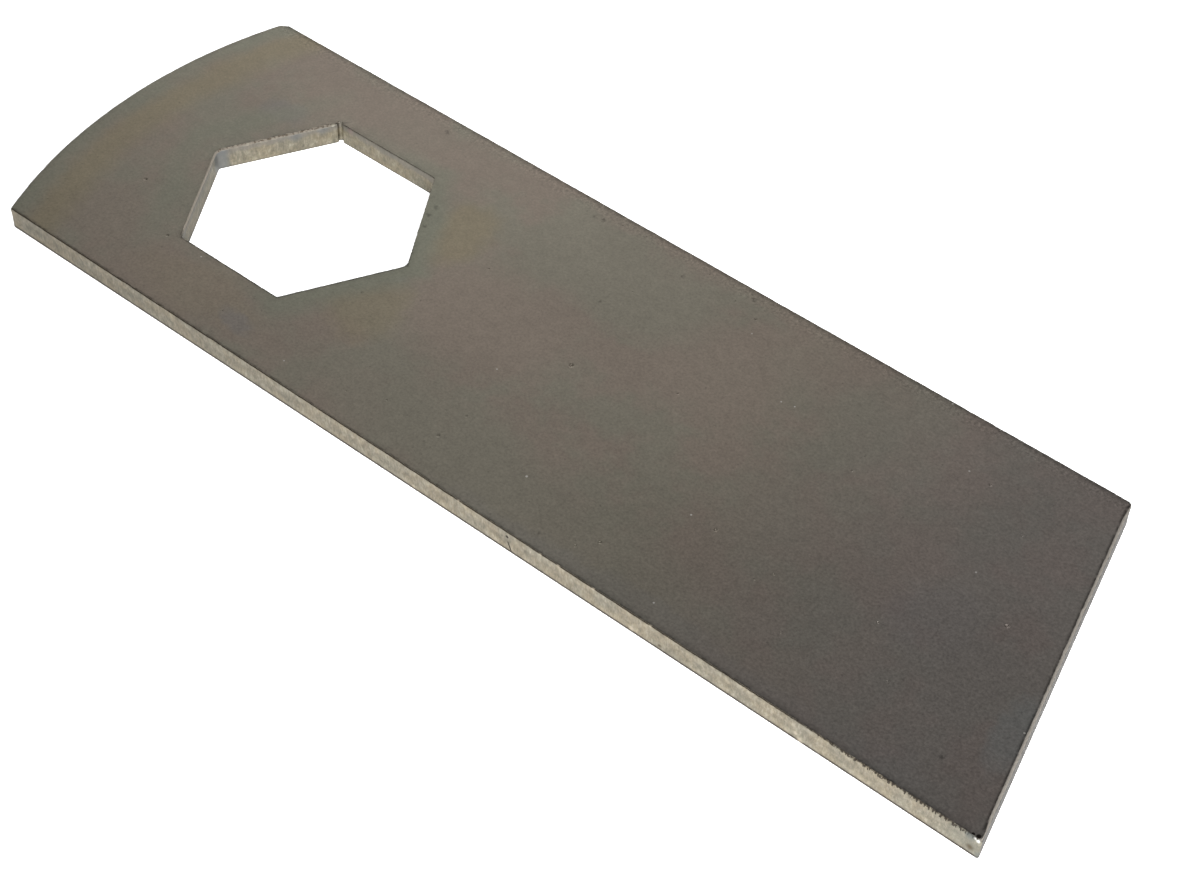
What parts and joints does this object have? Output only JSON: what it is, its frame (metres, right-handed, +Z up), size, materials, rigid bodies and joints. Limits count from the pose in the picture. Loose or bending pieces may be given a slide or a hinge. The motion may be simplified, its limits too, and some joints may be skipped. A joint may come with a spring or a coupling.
{
  "type": "scarifier blade",
  "caption": "Flat steel scarifier blade with a rounded head, a hexagonal drive hole and a slanted cutting end; it turns on a hexagonal rotor shaft to slit turf.",
  "frame": {"origin": "middle of the hexagonal drive hole on the lower face, on which the blade lies", "axes": "+X along the blade to the slanted cutting end, +Y across it to the short edge, +Z up through the thickness and along the drive hole"},
  "size_m": [0.1524, 0.05, 0.0032],
  "materials": {
    "tempered_steel": "satin, hardened steel with a thin brown and olive oxide film and paler cut edges"
  },
  "bodies": {
    "root": {"scarifier_blade": "tempered_steel"}
  },
  "joints": []
}
